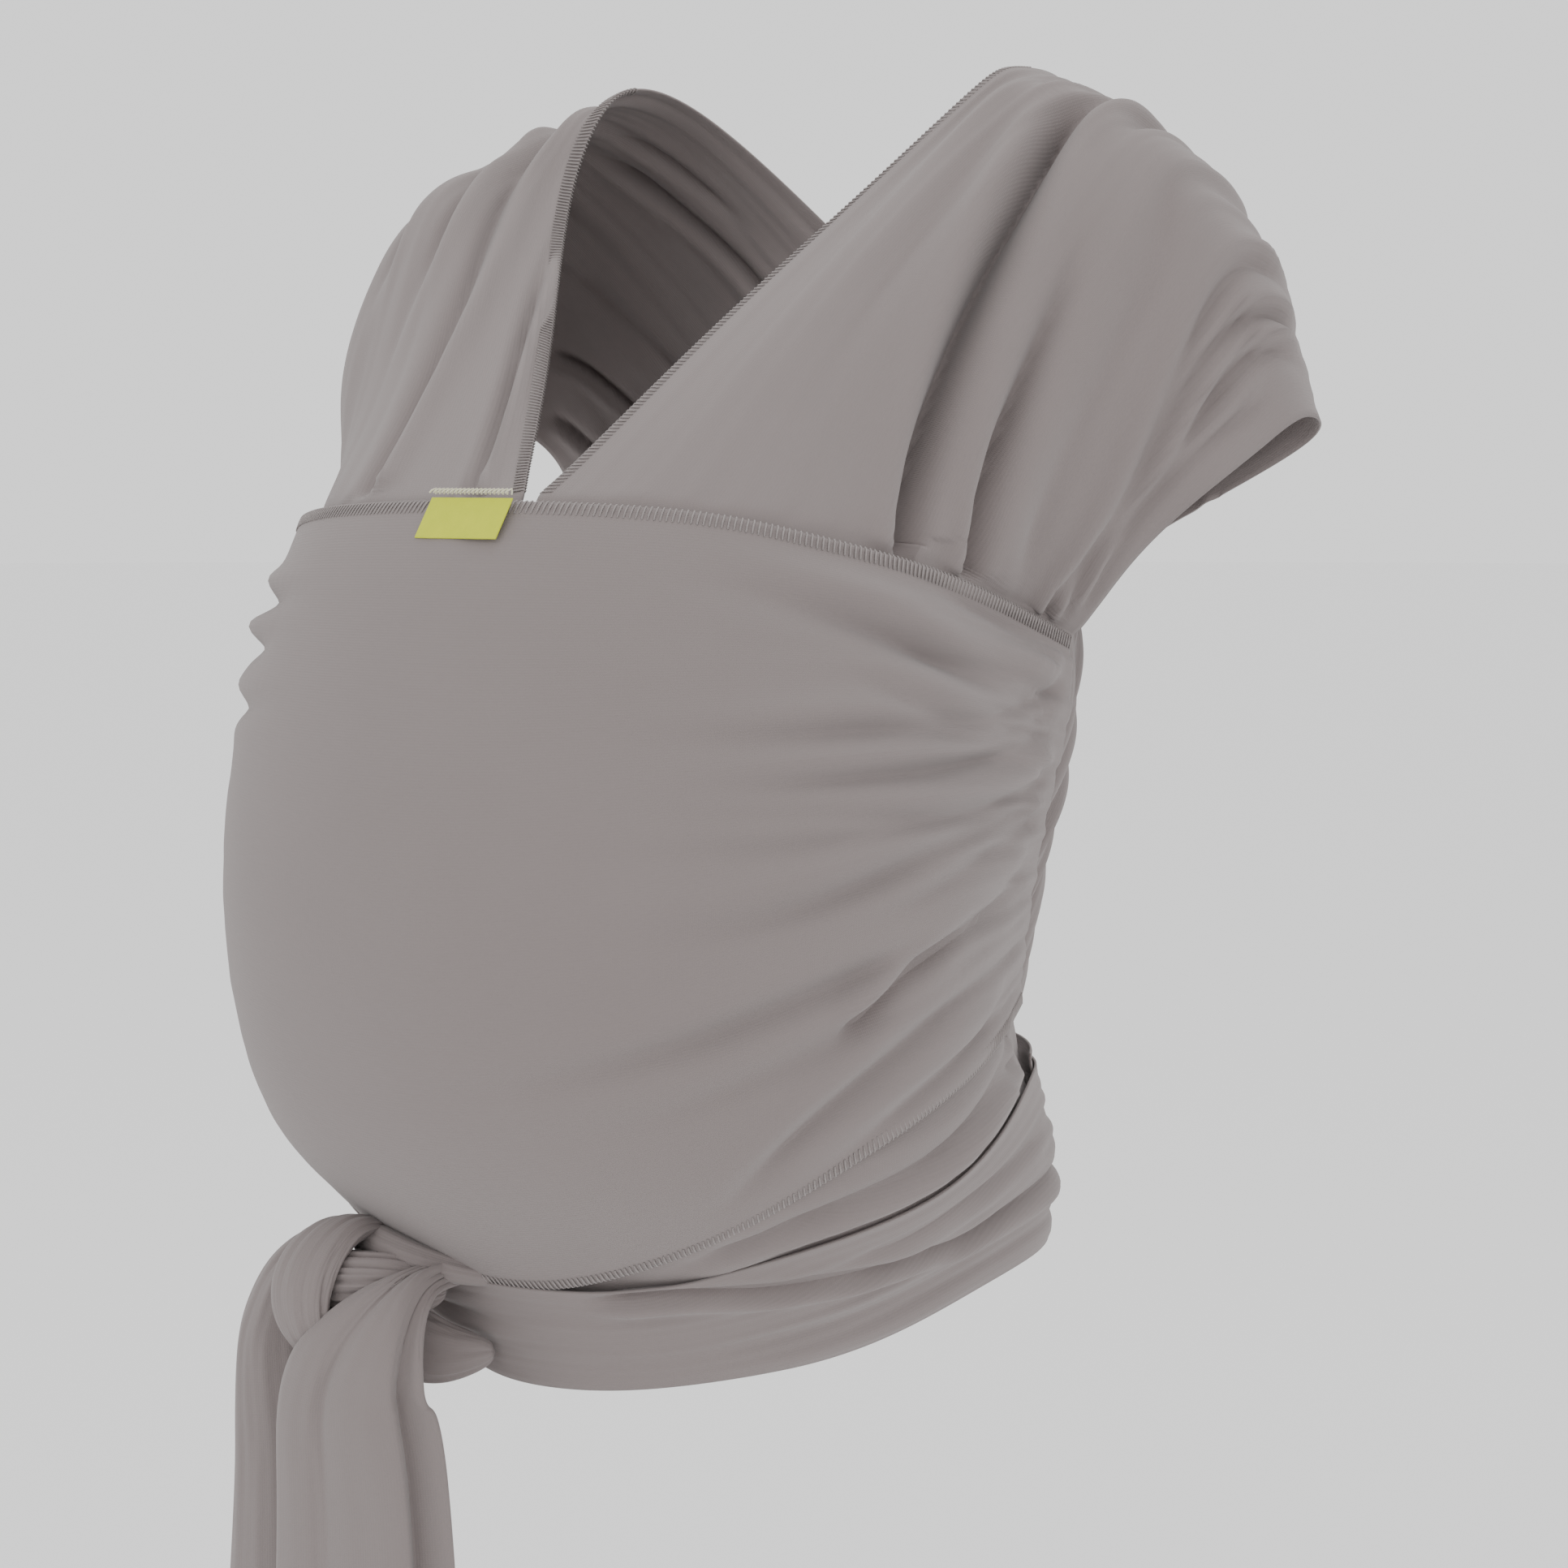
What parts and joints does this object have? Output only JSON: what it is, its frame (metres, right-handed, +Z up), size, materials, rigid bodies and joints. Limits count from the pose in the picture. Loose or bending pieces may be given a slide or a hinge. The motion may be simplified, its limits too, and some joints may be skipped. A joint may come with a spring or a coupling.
{
  "type": "baby wrap sling",
  "caption": "Long stretchy jersey cloth wrapped over both shoulders, crossed behind and round the waist, knotted in front, with a baby pouch.",
  "frame": {"origin": "on the upright axis of the wearer's torso, at the height of the lower edge of the waist wrap", "axes": "+Z up, -Y the way the wearer faces, +X the wearer's left"},
  "size_m": [0.5022, 0.4336, 1.0357],
  "materials": {
    "jersey": "matt warm grey stretch jersey knit",
    "thread": "matt overlock sewing thread",
    "tag_cloth": "woven yellow-green tag, plain",
    "label_satin": "plain satin ribbon"
  },
  "bodies": {
    "wrap": {"front_panel": "jersey", "panel_top_hem_thread": "thread", "panel_bottom_hem_thread": "thread", "front_cross_to_left_hip": "jersey", "front_cross_to_right_hip": "jersey", "left_shoulder_strap": "jersey", "left_strap_hem_thread": "thread", "right_shoulder_strap": "jersey", "right_strap_hem_thread": "thread", "back_pass_from_left_shoulder": "jersey", "back_pass_from_right_shoulder": "jersey", "waist_pass_inner": "jersey", "waist_pass_outer": "jersey", "knot_core": "jersey", "knot_loop": "jersey", "tag_tack": "thread"},
    "left_tail": {"left_tail": "jersey", "left_tail_hem_thread": "thread"},
    "right_tail": {"right_tail": "jersey", "right_tail_hem_thread": "thread"},
    "tag": {"tag": "tag_cloth"},
    "care_label": {"care_label": "label_satin"}
  },
  "joints": [
    {"name": "left_tail_swing", "type": "hinge", "parent": "wrap", "child": "left_tail", "pos_m": [-0.07, -0.243, 0], "axis": [-1, 0, 0], "range_deg": [0, 75]},
    {"name": "right_tail_swing", "type": "hinge", "parent": "wrap", "child": "right_tail", "pos_m": [-0.112, -0.209, 0], "axis": [0, 1, 0], "range_deg": [0, 60]},
    {"name": "tag_flap", "type": "hinge", "parent": "wrap", "child": "tag", "pos_m": [0.01479, -0.24321, 0.39607], "axis": [-1, 0, 0], "range_deg": [0, 85]},
    {"name": "care_label_flap", "type": "hinge", "parent": "right_tail", "child": "care_label", "pos_m": [-0.17524, -0.2135, -0.2666], "axis": [0, 0, 1], "range_deg": [-80, 80]}
  ]
}
